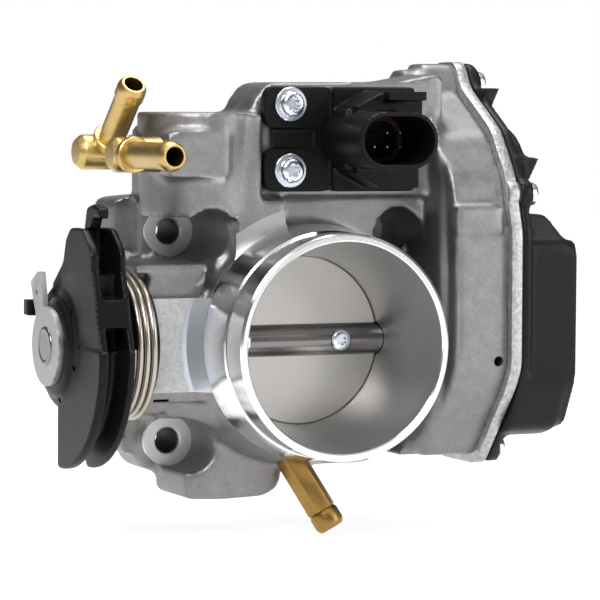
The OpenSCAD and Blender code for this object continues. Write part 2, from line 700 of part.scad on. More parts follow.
module idle_segment() {
  color("#d8d3c4") difference() {
    union() {
      gear_at(plane1_x, plane1_x + plane1_w, shaft_y, 0, segment_pts);
      bar_x(plane1_x, plane1_x + plane1_w, 7);
    }
    bar_x(plane1_x - 1, plane1_x + 9, 3.5 + run_gap);
  }
}
module wiper_rotor() {
  color("#1f1f22") difference() {
    union() {
      bar_x(53.4, 56.6, 7.5);
      span([53.4, shaft_y - 10, -2], [56.6, shaft_y, 2]);
    }
    bar_x(52, 58, 3.5);
  }
}
board_x = 59.4;
board_t = 1.6;
board_pts = [[-20, 8.5], [-56, 8.5], [-56, -8], [-46, -20], [-20, -20]];
board_posts = [[-52, 4], [-49, -10], [-24, -16]];
module sensor_board() {
  color("#2f5d3a") difference() {
    along_x(board_x, board_x + board_t, rounded(board_pts, 2, 2));
    bar_x(58, 62, 4);
  }
}

main_body();
throttle_shaft();
throttle_plate();
plate_screws();
shaft_bush();
shaft_bearing();
pulley_seal();
bearing_seal();
cable_pulley();
retaining_washer();
return_spring();
spring_spool();
rear_elbow();
rear_nipple();
front_elbow();
front_nipple();
lower_nipple();
connector_housing();
connector_pins();
connector_seal();
connector_screws();
gear_cover();
cover_gasket();
cover_screws();
idle_motor();
motor_pinion();
intermediate_gear();
gear_pin();
idle_segment();
wiper_rotor();
sensor_board();
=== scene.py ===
"""Cable-operated throttle body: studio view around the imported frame.

All sizes are in millimetres and become metres where a piece is made. X runs along the throttle shaft, +Y from
the air inlet to the manifold and +Z up. The origin is the centre of the bolt pattern, FLANGE_BACK in front of
the manifold face.
"""
import math

import bpy
from mathutils import Euler, Matrix, Vector


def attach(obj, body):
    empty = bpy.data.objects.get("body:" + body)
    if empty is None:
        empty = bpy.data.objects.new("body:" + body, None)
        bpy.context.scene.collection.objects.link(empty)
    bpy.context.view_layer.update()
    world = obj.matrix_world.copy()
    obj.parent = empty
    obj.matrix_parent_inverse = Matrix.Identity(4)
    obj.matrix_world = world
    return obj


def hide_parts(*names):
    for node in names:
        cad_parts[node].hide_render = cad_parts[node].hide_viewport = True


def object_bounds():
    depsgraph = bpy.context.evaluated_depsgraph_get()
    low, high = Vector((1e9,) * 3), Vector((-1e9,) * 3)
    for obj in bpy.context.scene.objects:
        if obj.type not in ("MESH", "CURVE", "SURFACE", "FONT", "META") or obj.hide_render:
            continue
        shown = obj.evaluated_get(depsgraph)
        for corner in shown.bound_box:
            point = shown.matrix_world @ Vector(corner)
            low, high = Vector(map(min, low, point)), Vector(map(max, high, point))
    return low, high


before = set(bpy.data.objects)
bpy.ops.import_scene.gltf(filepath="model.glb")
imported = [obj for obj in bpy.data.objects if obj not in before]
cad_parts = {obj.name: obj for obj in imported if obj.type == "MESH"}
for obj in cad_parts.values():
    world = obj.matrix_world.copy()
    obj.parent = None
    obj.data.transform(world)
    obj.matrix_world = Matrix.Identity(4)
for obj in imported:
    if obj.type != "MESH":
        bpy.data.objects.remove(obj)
cad_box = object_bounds()
MM = 0.001
TAU = 2 * math.pi

# Driving sizes of the casting and of what turns in it.
SHAFT_Y = -38.5
BOLT = 32.5
SEAT = 12.0
FLANGE_BACK = 8.0


# ---------------------------------------------------------------- modelling helpers
def clear_selection():
    bpy.ops.object.select_all(action="DESELECT")


def pick(obj):
    """Selects one object and makes it active."""
    clear_selection()
    obj.select_set(True)
    bpy.context.view_layer.objects.active = obj
    return obj


def made(name):
    """Names the object that was just added."""
    obj = bpy.context.active_object
    obj.name = name
    obj.data.name = name
    return obj


def place(obj, origin=(0, 0, 0), turn=(0, 0, 0), scale=MM):
    """Turns, moves and scales an object modelled in millimetres about its own origin, and applies it."""
    obj.matrix_world = (
        Matrix.Translation(Vector(origin) * MM) @ Euler([math.radians(a) for a in turn]).to_matrix().to_4x4()
        @ Matrix.Scale(scale, 4))
    pick(obj)
    bpy.ops.object.transform_apply(location=True, rotation=True, scale=True)
    return obj


def outwards(obj):
    """Merges doubles and points every face outwards."""
    pick(obj)
    bpy.ops.object.mode_set(mode="EDIT")
    bpy.ops.mesh.select_all(action="SELECT")
    bpy.ops.mesh.remove_doubles(threshold=1e-6)
    bpy.ops.mesh.normals_make_consistent(inside=False)
    bpy.ops.object.mode_set(mode="OBJECT")
    return obj


def lathe(name, stations, origin=(0, 0, 0), turn=(0, 0, 0), sides=96, ring=False):
    """Turned shape about local Z from (height, radius) stations.

    A ring's last station is bridged to its first.
    """
    clear_selection()
    height, radius = stations[0]
    fill = "NOTHING" if ring else "NGON"
    bpy.ops.mesh.primitive_circle_add(vertices=sides, radius=radius, fill_type=fill, location=(0, 0, height))
    obj = made(name)
    bpy.ops.object.transform_apply(location=True, rotation=False, scale=False)
    bpy.ops.object.mode_set(mode="EDIT")
    bpy.ops.mesh.select_all(action="SELECT")
    for next_height, next_radius in stations[1:]:
        bpy.ops.mesh.extrude_region_move(TRANSFORM_OT_translate={"value": (0, 0, next_height - height)})
        k = next_radius / radius
        bpy.ops.transform.resize(value=(k, k, 1), center_override=(0, 0, next_height))
        height, radius = next_height, next_radius
    if ring:
        bpy.ops.mesh.select_all(action="DESELECT")
        bpy.ops.mesh.select_mode(type="EDGE")
        bpy.ops.mesh.select_non_manifold()
        bpy.ops.mesh.bridge_edge_loops()
    bpy.ops.object.mode_set(mode="OBJECT")
    return place(outwards(obj), origin, turn)


def slab(name, outline, depth, origin=(0, 0, 0), turn=(0, 0, 0)):
    """Flat shape of the given outline in local XY, pulled up along local Z."""
    clear_selection()
    bpy.ops.mesh.primitive_circle_add(vertices=len(outline), radius=1, fill_type="NGON")
    obj = made(name)
    for vertex, (u, v) in zip(obj.data.vertices, outline):
        vertex.co = (u, v, 0)
    bpy.ops.object.mode_set(mode="EDIT")
    bpy.ops.mesh.select_all(action="SELECT")
    bpy.ops.mesh.extrude_region_move(TRANSFORM_OT_translate={"value": (0, 0, depth)})
    bpy.ops.object.mode_set(mode="OBJECT")
    return place(outwards(obj), origin, turn)


FACE_X = (90, 0, 90)     # local XY drawn as YZ, pulled towards +X
FACE_Y = (90, 0, 0)      # local XY drawn as XZ, pulled towards -Y
ALONG_X = (0, 90, 0)     # local Z becomes +X
ALONG_INLET = (90, 0, 0)  # local Z becomes -Y


def slab_x(name, x0, x1, outline):
    return slab(name, outline, x1 - x0, (x0, 0, 0), FACE_X)


def slab_y(name, y0, y1, outline):
    return slab(name, outline, y1 - y0, (0, y1, 0), FACE_Y)


def bar_x(name, x0, x1, r, y=SHAFT_Y, z=0.0, sides=64):
    return lathe(name, [(x0, r), (x1, r)], (0, y, z), ALONG_X, sides)


def bar_y(name, y0, y1, r, x=0.0, z=0.0, sides=64):
    return lathe(name, [(-y1, r), (-y0, r)], (x, 0, z), ALONG_INLET, sides)


def brick(name, low, high):
    """Block from its lowest to its highest corner."""
    return slab_y(name, low[1], high[1], rect((low[0] + high[0]) / 2, (low[2] + high[2]) / 2,
                                              high[0] - low[0], high[2] - low[2]))


def rect(cx, cy, w, h):
    return [(cx + w / 2, cy + h / 2), (cx - w / 2, cy + h / 2), (cx - w / 2, cy - h / 2),
            (cx + w / 2, cy - h / 2)]


def rounded(points, r, steps=5):
    """The outline with each corner rounded by a quadratic blend that starts r away from it."""
    out = []
    for i, corner in enumerate(points):
        c = Vector(corner)
        before, after = Vector(points[i - 1]) - c, Vector(points[(i + 1) % len(points)]) - c
        q = min(r, 0.45 * before.length, 0.45 * after.length)
        a, b = c + before.normalized() * q, c + after.normalized() * q
        for s in range(steps + 1):
            t = s / steps
            out.append(tuple(a * (1 - t) ** 2 + c * 2 * t * (1 - t) + b * t * t))
    return out


def inset(points, d):
    """The anticlockwise outline moved inwards by d."""
    out = []
    for i, corner in enumerate(points):
        c = Vector(corner)
        e1 = (c - Vector(points[i - 1])).normalized()
        e2 = (Vector(points[(i + 1) % len(points)]) - c).normalized()
        n1, n2 = Vector((-e1.y, e1.x)), Vector((-e2.y, e2.x))
        out.append(tuple(c + (n1 + n2) * d / (1 + n1.dot(n2))))
    return out


def stadium(cx, cy, w, h, steps=16):
    """Outline with two straight sides and two round ends."""
    straight = w / 2 - h / 2
    out = []
    for side, start in ((1, -90), (-1, 90)):
        for s in range(steps + 1):
            a = math.radians(start + 180 * s / steps)
            out.append((cx + side * straight + h / 2 * math.cos(a), cy + h / 2 * math.sin(a)))
    return out


def star(r, lobes=6, depth=0.16, steps=48):
    """Outline of a six-lobed screw recess."""
    return [(r * (1 + depth * math.cos(lobes * TAU * s / steps)) * math.cos(TAU * s / steps),
             r * (1 + depth * math.cos(lobes * TAU * s / steps)) * math.sin(TAU * s / steps))
            for s in range(steps)]


def joined(name, parts):
    """Puts several meshes into one object without welding them."""
    clear_selection()
    for part in parts:
        part.select_set(True)
    bpy.context.view_layer.objects.active = parts[0]
    if len(parts) > 1:
        bpy.ops.object.join()
    return made(name)


def apply_modifier(obj, kind, **settings):
    pick(obj)
    modifier = obj.modifiers.new(kind.title(), kind)
    for key, value in settings.items():
        setattr(modifier, key, value)
    bpy.ops.object.modifier_apply(modifier=modifier.name)
    return obj


def cut(obj, tool, operation="DIFFERENCE", solver="EXACT"):
    """Cuts obj with a tool, whose material goes onto the cut, and removes the tool."""
    apply_modifier(obj, "BOOLEAN", operation=operation, object=tool, solver=solver, material_mode="TRANSFER")
    bpy.data.objects.remove(tool)
    return obj


def mill(obj, tool, operation="DIFFERENCE"):
    """The same cut by the quick solver, for a dense mesh."""
    return cut(obj, tool, operation, "MANIFOLD")


def united(name, parts):
    """One solid from parts that overlap."""
    whole = parts[0]
    for part in parts[1:]:
        cut(whole, part, "UNION")
    whole.name = name
    return whole


def soften(obj, width, segments=2, angle=30):
    """Rounds the sharp edges by width millimetres."""
    return apply_modifier(obj, "BEVEL", width=width * MM, segments=segments, limit_method="ANGLE",
                          angle_limit=math.radians(angle), harden_normals=False)


def melt(obj, voxel, rounds, strength=0.5):
    """Welds overlapping solids into one skin and rounds its edges, as a mould does."""
    apply_modifier(obj, "REMESH", mode="VOXEL", voxel_size=voxel * MM)
    if rounds:
        apply_modifier(obj, "SMOOTH", factor=strength, iterations=rounds)
    return obj


def shade(obj, angle=35):
    pick(obj)
    bpy.ops.object.shade_smooth_by_angle(angle=math.radians(angle))
    return obj


def paint(obj, material):
    obj.data.materials.clear()
    obj.data.materials.append(material)
    return obj


def settle(obj, body, nodes, angle=35):
    """Finishes a piece: shading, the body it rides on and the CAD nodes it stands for."""
    shade(obj, angle)
    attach(obj, body)
    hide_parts(*nodes)
    return obj


# ---------------------------------------------------------------- shader groups
def new_group(name, inputs, outputs):
    """Empty shader group with (name, socket type, default) inputs and (name, socket type) outputs."""
    group = bpy.data.node_groups.new(name, "ShaderNodeTree")
    for label, kind, value in inputs:
        group.interface.new_socket(label, in_out="INPUT", socket_type=kind).default_value = value
    for label, kind in outputs:
        group.interface.new_socket(label, in_out="OUTPUT", socket_type=kind)
    return group, group.nodes.new("NodeGroupInput"), group.nodes.new("NodeGroupOutput")


FLOAT, COLOR, VECTOR = "NodeSocketFloat", "NodeSocketColor", "NodeSocketVector"


def maths(tree, operation, a, b=0.0):
    node = tree.nodes.new("ShaderNodeMath")
    node.operation = operation
    for socket, value in zip(node.inputs, (a, b)):
        if isinstance(value, (int, float)):
            socket.default_value = value
        else:
            tree.links.new(value, socket)
    return node.outputs[0]


def noise(tree, vector, scale, detail=4.0, rough=0.55):
    node = tree.nodes.new("ShaderNodeTexNoise")
    node.inputs["Scale"].default_value = scale
    node.inputs["Detail"].default_value = detail
    node.inputs["Roughness"].default_value = rough
    tree.links.new(vector, node.inputs["Vector"])
    return node.outputs["Fac"]


def grain_group():
    """Fine grain with slow blotches: a mottled colour, a roughness and a height."""
    group, inp, out = new_group("grain", [
        ("Colour", COLOR, (0.5, 0.5, 0.5, 1)), ("Mottle", FLOAT, 0.15), ("Roughness", FLOAT, 0.5),
        ("Roughness spread", FLOAT, 0.1), ("Grain scale", FLOAT, 2500), ("Blotch scale", FLOAT, 120)],
        [("Colour", COLOR), ("Roughness", FLOAT), ("Height", FLOAT)])
    coords = group.nodes.new("ShaderNodeTexCoord").outputs["Object"]
    fine = noise(group, coords, 1.0, 3.0, 0.6)
    group.links.new(inp.outputs["Grain scale"], fine.node.inputs["Scale"])
    blotch = noise(group, coords, 1.0, 4.0, 0.6)
    group.links.new(inp.outputs["Blotch scale"], blotch.node.inputs["Scale"])
    both = maths(group, "ADD", maths(group, "MULTIPLY", fine, 0.55), maths(group, "MULTIPLY", blotch, 0.45))
    swing = maths(group, "MULTIPLY", maths(group, "SUBTRACT", both, 0.5), inp.outputs["Mottle"])
    gain = maths(group, "ADD", maths(group, "MULTIPLY", swing, 4.0), 1.0)
    mix = group.nodes.new("ShaderNodeVectorMath")
    mix.operation = "SCALE"
    group.links.new(inp.outputs["Colour"], mix.inputs[0])
    group.links.new(gain, mix.inputs["Scale"])
    group.links.new(mix.outputs[0], out.inputs["Colour"])
    spread = maths(group, "MULTIPLY", maths(group, "SUBTRACT", blotch, 0.5), inp.outputs["Roughness spread"])
    group.links.new(maths(group, "ADD", inp.outputs["Roughness"], spread), out.inputs["Roughness"])
    group.links.new(fine, out.inputs["Height"])
    return group


def rings_group():
    """Tool marks of a lathe: fine rings about the Y or X axis through the piece's own centre line."""
    group, inp, out = new_group("tool_rings", [
        ("Vector", VECTOR, (0, 0, 0)), ("Pitch", FLOAT, 0.00025), ("Wobble", FLOAT, 0.3)],
                                [("Height", FLOAT)])
    split = group.nodes.new("ShaderNodeSeparateXYZ")
    group.links.new(inp.outputs["Vector"], split.inputs[0])
    x, y, z = split.outputs
    radius = maths(group, "SQRT", maths(group, "ADD", maths(group, "MULTIPLY", x, x),
                                        maths(group, "MULTIPLY", z, z)))
    along = maths(group, "ADD", radius, y)
    phase = maths(group, "DIVIDE", along, inp.outputs["Pitch"])
    drift = maths(group, "MULTIPLY", noise(group, inp.outputs["Vector"], 90.0, 2.0), inp.outputs["Wobble"])
    wave = maths(group, "SINE", maths(group, "ADD", maths(group, "MULTIPLY", phase, TAU), drift))
    group.links.new(wave, out.inputs["Height"])
    return group


GRAIN = grain_group()
RINGS = rings_group()


def material(name, colour, rough, metallic=0.0, mottle=0.1, spread=0.1, grain=2500.0, blotch=120.0, bump=0.0,
             bump_height=0.00005, rings=0.0, ring_pitch=0.0003, centre=(0.0, 0.0, 0.0), across=False,
             coat=0.0,
             specular=0.5, anisotropic=0.0):
    """Principled material with grain, and lathe rings about the Y axis, or about X where across is set."""
    mat = bpy.data.materials.new(name)
    mat.use_nodes = True
    tree = mat.node_tree
    shader = tree.nodes["Principled BSDF"]
    shader.inputs["Metallic"].default_value = metallic
    shader.inputs["Coat Weight"].default_value = coat
    shader.inputs["Specular IOR Level"].default_value = specular
    shader.inputs["Anisotropic"].default_value = anisotropic
    body = tree.nodes.new("ShaderNodeGroup")
    body.node_tree = GRAIN
    body.inputs["Colour"].default_value = (*colour, 1)
    body.inputs["Mottle"].default_value = mottle
    body.inputs["Roughness"].default_value = rough
    body.inputs["Roughness spread"].default_value = spread
    body.inputs["Grain scale"].default_value = grain
    body.inputs["Blotch scale"].default_value = blotch
    tree.links.new(body.outputs["Colour"], shader.inputs["Base Color"])
    tree.links.new(body.outputs["Roughness"], shader.inputs["Roughness"])
    normal = None
    if bump:
        node = tree.nodes.new("ShaderNodeBump")
        node.inputs["Strength"].default_value = bump
        node.inputs["Distance"].default_value = bump_height
        tree.links.new(body.outputs["Height"], node.inputs["Height"])
        normal = node
    if rings:
        mapping = tree.nodes.new("ShaderNodeMapping")
        mapping.vector_type = "TEXTURE"
        mapping.inputs["Location"].default_value = [c * MM for c in centre]
        if across:
            mapping.inputs["Rotation"].default_value = (0, 0, math.radians(90))
        tree.links.new(tree.nodes.new("ShaderNodeTexCoord").outputs["Object"], mapping.inputs["Vector"])
        marks = tree.nodes.new("ShaderNodeGroup")
        marks.node_tree = RINGS
        marks.inputs["Pitch"].default_value = ring_pitch
        tree.links.new(mapping.outputs["Vector"], marks.inputs["Vector"])
        node = tree.nodes.new("ShaderNodeBump")
        node.inputs["Strength"].default_value = rings
        node.inputs["Distance"].default_value = 0.00001
        tree.links.new(marks.outputs["Height"], node.inputs["Height"])
        if normal:
            tree.links.new(normal.outputs["Normal"], node.inputs["Normal"])
        normal = node
    if normal:
        tree.links.new(normal.outputs["Normal"], shader.inputs["Normal"])
    return mat


CAST = material("cast_aluminium", (0.25, 0.245, 0.243), 0.42, 0.85, mottle=0.32, spread=0.22, grain=1900,
                blotch=220,
                bump=0.55, bump_height=0.00012)
TURNED = material("turned_aluminium", (0.86, 0.865, 0.875), 0.13, 1.0, mottle=0.03, spread=0.06, grain=900,
                  rings=0.25, ring_pitch=0.00035)
SEAT_FACE = material("milled_seat", (0.80, 0.80, 0.79), 0.45, 0.45, mottle=0.06, spread=0.1, grain=1800,
                     rings=0.3,
                     ring_pitch=0.0004, centre=(-32.5, 0, 32.5))
BORE = material("bore_aluminium", (0.50, 0.495, 0.49), 0.42, 1.0, mottle=0.05, spread=0.08, grain=1500,
                rings=0.25,
                ring_pitch=0.0004)
PLATE = material("plate_aluminium", (0.50, 0.485, 0.465), 0.36, 1.0, mottle=0.05, spread=0.08, grain=2200,
                 bump=0.15)
SHAFT = material("shaft_steel", (0.22, 0.21, 0.205), 0.2, 1.0, mottle=0.06, grain=1500, rings=0.25,
                 centre=(0, SHAFT_Y, 0), across=True)
ZINC = material("zinc_steel", (0.72, 0.77, 0.84), 0.24, 1.0, mottle=0.08, grain=2500, bump=0.1)
WASHER = material("washer_steel", (0.46, 0.46, 0.455), 0.42, 1.0, mottle=0.05, grain=2600, bump=0.12)
SPRING = material("spring_steel", (0.46, 0.42, 0.365), 0.3, 1.0, mottle=0.12, grain=1800, bump=0.15)
BRASS = material("brass", (0.56, 0.40, 0.155), 0.36, 1.0, mottle=0.1, spread=0.15, grain=1200, blotch=260,
                 bump=0.25,
                 bump_height=0.00006)
# Dark brown painted shade for the bores of the hose nipples.
BRASS_BORE_SHADE = material("brass_bore_painted_shade", (0.13, 0.07, 0.02), 0.45, 1.0, mottle=0.2)
BRONZE = material("bronze", (0.36, 0.21, 0.06), 0.36, 1.0, mottle=0.2, spread=0.2, grain=900, blotch=260,
                  bump=0.2)
BLACK = material("black_nylon", (0.004, 0.004, 0.0045), 0.38, 0.0, specular=0.16, mottle=0.15, grain=1600,
                 bump=0.25,
                 bump_height=0.00005)
COVER = material("cover_nylon", (0.006, 0.006, 0.007), 0.4, 0.0, specular=0.2, mottle=0.15, grain=1500,
                 bump=0.3,
                 bump_height=0.00005)
GEAR = material("acetal", (0.72, 0.69, 0.6), 0.4, 0.0, mottle=0.05)
BOARD = material("board_resin", (0.03, 0.16, 0.06), 0.35, 0.0, mottle=0.1)
RUBBER = material("black_rubber", (0.015, 0.015, 0.015), 0.6, 0.0, mottle=0.1, bump=0.2)
SILICONE = material("silicone", (0.05, 0.012, 0.01), 0.6, 0.0, mottle=0.1)
# Near-black painted shade for the insides of drilled holes and slots, where the hollow is only in shade.
HOLE_SHADE = material("hole_painted_shade", (0.045, 0.04, 0.038), 0.6, 0.0, specular=0.2, mottle=0.3, grain=900,
                  blotch=300, bump=0.4)


# ---------------------------------------------------------------- outlines in the YZ plane, anticlockwise
RIM = [(-9, 85.5), (-22, 85.7), (-27, 77.5), (-47.4, 64.8), (-57.5, 51), (-63.2, 33), (-63.4, -8.5),
       (-59.5, -15.5), (-39, -40.5), (-15, -40.5), (-6, -30), (-6, 78)]
OUTER = [(-18, 30.5), (-58, 30.5), (-60.2, 27), (-60.2, -13), (-53, -27.5), (-44, -30), (-18, -30)]
BULGE = [(-16, 38), (-46, 38), (-60, 30), (-60.4, -14), (-53, -29), (-44, -31.5), (-16, -31.5)]
SCREW_POSTS = [(-20.5, 79), (-57, 44.8), (-36.5, -35.8), (-11, 70), (-11.5, -30)]


# ---------------------------------------------------------------- casting
def fitting_axis(part, origin, turns):
    """Turns a part modelled at the origin through each angle triple in turn, then moves it."""
    matrix = Matrix.Translation(Vector(origin) * MM)
    for turn in turns:
        matrix = matrix @ Euler([math.radians(a) for a in turn]).to_matrix().to_4x4()
    part.matrix_world = matrix
    pick(part)
    bpy.ops.object.transform_apply(location=True, rotation=True, scale=True)
    return part


FRONT_AXIS = ((-59.2, -45, 56.8), ((90, 0, 0), (0, 6, 0)))
REAR_AXIS = ((-57.6, -24, 57.2), ((45, 3, 0),))
LOWER_AXIS = ((-3.5, -33, -32), ((0, 147, -39),))


def casting_blanks():
    """The solids that the mould fills."""
    parts = [
        slab_y("flange", -9.5, FLANGE_BACK, rounded(rect(0, 0, 85, 85), 9)),
        slab_y("upper_ear", -9.5, FLANGE_BACK, rounded([(-34, 44), (-50, 42.5), (-50, 27), (-34, 25)], 3)),
        slab_y("lower_ear", -9.5, FLANGE_BACK, rounded([(-34, -24), (-46, -24), (-47, -36), (-34, -38.5)],
                                                       2)),
        lathe("barrel", [(-FLANGE_BACK, 36.5), (10, 36.5), (12, 35), (46.2, 35)], (0, 0, 0), ALONG_INLET,
              128),
        cut(lathe("flare", [(-1, 47), (8, 47), (36, 38), (45, 35)], (0, 0, 0), ALONG_INLET, 128),
            slab_y("flare_square", -46, 0, rect(0, 0, 84, 84)), "INTERSECT"),
        brick("block_root", (-52, -43.8, -13.4), (-30, -22, 12.8)),
        brick("block_foot", (-53, -42.5, -18), (-33, -20, -14.3)),
        slab_x("ledge", -53, -34, [(-20, 24.6), (-47.5, 24.6), (-49, 23.4), (-48.6, 21.6), (-43.5, 13.8),
                                   (-20, 13.7)]),
        slab_x("ledge_lip", -57, -52.9, [(-46, 24.6), (-47.5, 24.6), (-49, 23.4), (-48.6, 21.6), (-46, 22)]),
        brick("side_web", (-46, -22, -23), (-33, -5, 23)),
        slab_y("neck_foot", -42, -12, [(-8, 46), (-24, 46), (-25.5, 38), (-30, 22), (-8, 22)]),
        bar_x("spool_boss", -62, -52.9, 7.8),
        slab_y("lower_boss", -32, -6, rounded([(-2.5, -28), (-34.5, -28), (-34.5, -48.6), (-22, -49.3),
                                               (-7, -48.6), (-2.5, -45)], 2.5)),
        bar_y("lower_nub", -30, -22, 4.5, 0.5, -36.5),
        lathe("tower", [(38, 18), (69.4, 19)], (-30, -31, 0)),
        slab_y("neck", -48, -12, rounded([(-11.5, 69.2), (-24, 69.2), (-24, 20), (-6, 20)], 2)),
        slab_y("back_block", -22, -9, rounded([(-12, 66), (-44, 66), (-44, 41.5), (-12, 41.5)], 4)),
        slab_y("port_boss", -50.5, -36, rounded([(-28, 64), (-48, 63.6), (-48, 50), (-28, 49.7)], 2.5)),
        bar_x("front_port", -47, -30, 5.5, -45, 56.8),
        bar_x("rear_port", -52, -34, 5.2, -24, 57.2),
        slab_y("connector_pad", -44, -22,
               rounded([(46, 82), (30, 79), (-13, 78.6), (-18.6, 72), (-18.6, 44), (46, 44)], 3)),
        slab_y("under_pad", -41, -12, rounded([(46, 50), (-16, 50), (-16, 30), (46, 30)], 2)),
        brick("pad_rib", (-15, -43, 34), (-12, -30, 46)),
        slab_x("chamber", 43, 61.5, rounded(inset(RIM, 2.6), 3)),
        slab_x("chamber_head", 50, 61.5, rounded([(-9, 85), (-21, 85), (-25, 76), (-9, 74)], 2)),
        brick("chamber_rib", (42, -62.2, 33), (58, -57, 41)),
        brick("shoulder_top", (24, -40, 43), (44, -9, 79)),
        brick("shoulder_back", (36, -30, -38), (44, -2, 44)),
        slab_x("shoulder", 41, 43.5,
               rounded([(-14, 76), (-44, 72), (-52, 45), (-54, 10), (-50, -20), (-38, -36),
                                              (-14, -36)], 6)),
    ]
    for sx in (-1, 1):
        for sz in (-1, 1):
            parts.append(bar_y("seat", -SEAT, 0, 8.9, sx * BOLT, sz * BOLT))
    parts.append(slab_y("upper_seat_pad", -SEAT, -5, [(-41.4, 41), (-41.4, 24.8), (-27, 24.8), (-23.4, 28.6),
                                                      (-23.4, 41)]))
    parts.append(slab_y("lower_seat_pad", -SEAT, -5, [(-40.8, -25), (-40.8, -41), (-24, -41), (-24, -25)]))
    return joined("casting", parts)


def casting_pockets():
    """What the mould's cores leave open.

    These are the tool pockets at the bolts, the gear chamber and the plug's seat.
    """
    parts = [bar_y("pocket", -75, -SEAT, 7.9, sx * BOLT, sz * BOLT) for sx in (-1, 1) for sz in (-1, 1)]
    parts.append(slab_x("chamber_space", 46.6, 66, rounded(inset(RIM, 5.4), 3)))
    parts.append(brick("connector_seat", (-16.2, -60, 43), (41.5, -44, 84)))
    return united("pockets", parts)


def lathe_cuts():
    """Cutters for the turned and milled faces, each with the finish that it leaves, and near-black painted
    shade in the drilled holes and the slot.
    """
    bore = lathe("bore_cutter", [(-9, 26), (2.5, 26), (2.5, 29), (43.5, 34.4), (46, 34.4), (46, 41),
                                 (76, 41)],
                 (0, 0, 0), ALONG_INLET, 128)
    tools = [paint(bore, BORE)]
    for sx in (-1, 1):
        for sz in (-1, 1):
            tools.append(paint(bar_y("seat_cutter", -30, -10.5, 7.9, sx * BOLT, sz * BOLT), CAST))
            # Bolt holes painted near-black: painted shade inside them.
            tools.append(paint(bar_y("hole_cutter", -30, 9, 4.1, sx * BOLT, sz * BOLT), HOLE_SHADE))
    for x0, x1, r in ((-64, 0, 4.3), (20, 60, 5.3), (-63, -50, 5.5)):
        tools.append(paint(bar_x("shaft_cutter", x0, x1, r), BORE))
    # Drain, slot and port holes painted near-black: painted shade inside them.
    tools.append(paint(bar_y("drain_cutter", -64, -50, 1.6, 57.6, -6.5), HOLE_SHADE))
    tools.append(paint(brick("slot_cutter", (-49, -44, -17.4), (-44, -38, -16.6)), HOLE_SHADE))
    tools.append(paint(bar_y("upper_port_cutter", -44.6, -41, 1.9, 31.5, 47.5), HOLE_SHADE))
    return united("cutters", tools)


def casting():
    body = melt(casting_blanks(), 0.95, 0)
    mill(body, casting_pockets())
    melt(body, 0.95, 5)
    paint(body, CAST)
    mill(body, lathe_cuts())
    faces = len(body.data.polygons)
    apply_modifier(body, "TRIANGULATE")
    triangles = len(body.data.polygons)
    if triangles > 190000:
        apply_modifier(body, "DECIMATE", ratio=190000 / triangles)
    print("casting", faces, triangles, len(body.data.polygons))
    return settle(body, "body", ["main_body"], 40)


def block_front():
    """Face of the shaft block, milled flat and then caught by the lathe beside the rim."""
    block = brick("shaft_block", (-53, -50, -14.4), (-30, -30, 13.8))
    paint(block, BLOCK_FACE)
    facing = lathe("facing_cut", [(45, 39.5), (56, 39.5), (56, 70), (45, 70)], (0, 0, 0), ALONG_INLET, 192,
                   ring=True)
    cut(block, paint(facing, BLOCK_FACE))
    cone = lathe("cone_cut", [(44.9, 39.58), (49.5, 36), (56, 36), (56, 41), (44.9, 41)], (0, 0, 0),
                 ALONG_INLET,
                 192, ring=True)
    cut(block, paint(cone, BLOCK_CONE))
    core = lathe("core_cut", [(20, 34.6), (60, 34.6)], (0, 0, 0), ALONG_INLET, 192)
    cut(block, paint(core, BORE))
    cut(block, paint(bar_x("shaft_cutter", -64, 0, 5.5, SHAFT_Y, 0), BORE))
    soften(block, 0.35, 2, 50)
    return settle(block, "body", ["main_body"])


def bolt_seats():
    """Spot-faced seats round the four bolt holes, with the tool's rings on them."""
    parts = [lathe("bolt_seat", [(9.5, 4.1), (9.5, 8.3), (11.6, 8.3), (SEAT, 7.9), (SEAT, 4.5), (11.6, 4.1)],
                   (sx * BOLT, 0, sz * BOLT), ALONG_INLET, 96, ring=True) for sx in (-1, 1) for sz in (-1, 1)]
    seats = joined("bolt_seats", parts)
    paint(seats, SEAT_FACE)
    return settle(seats, "body", ["main_body"], 20)


def inlet_spigot():
    """Turned spigot and bore: one lathe ring inside the casting."""
    outer = [(3, 26), (3, 28.6), (44, 34.3), (46, 35.02), (49.5, 36), (50.2, 36), (61.3, 34.3), (61.9, 33.7),
             (62.6, 33.6), (63.1, 33.9), (68.4, 33.9), (68.6, 34), (73.3, 34), (73.9, 33.4)]
    inner = [(74, 33.2), (74, 32.0), (73.7, 31.6), (72.5, 31.35), (41, 26.05), (40, 26), (37, 26)]
    ring = lathe("inlet_spigot", outer + inner, (0, 0, 0), ALONG_INLET, 192, ring=True)
    paint(ring, TURNED)
    ring.data.materials.append(BORE)
    for face in ring.data.polygons:
        centre = face.center / MM
        if math.hypot(centre.x, centre.z) < 31.8 and centre.y > -73.8:
            face.material_index = 1
    cutters = united("shaft_way", [paint(bar_x("west_way", -40, -20, 4.3), BORE),
                                   paint(bar_x("east_way", 20, 40, 5.3), BORE)])
    cut(ring, cutters)
    return settle(ring, "body", ["main_body"], 20)


def cover_rim():
    """Edge of the gear chamber, where the die left a coarse bright band."""
    ring = slab_x("cover_rim", 60.6, 64, rounded(RIM, 3))
    cut(ring, slab_x("rim_space", 59, 66, rounded(inset(RIM, 5.4), 3)))
    for post in SCREW_POSTS:
        cut(ring, bar_x("post", 60.7, 63.9, 4.2, *post), "UNION")
    paint(ring, RIM_EDGE)
    soften(ring, 0.45, 2)
    return settle(ring, "body", ["main_body"])


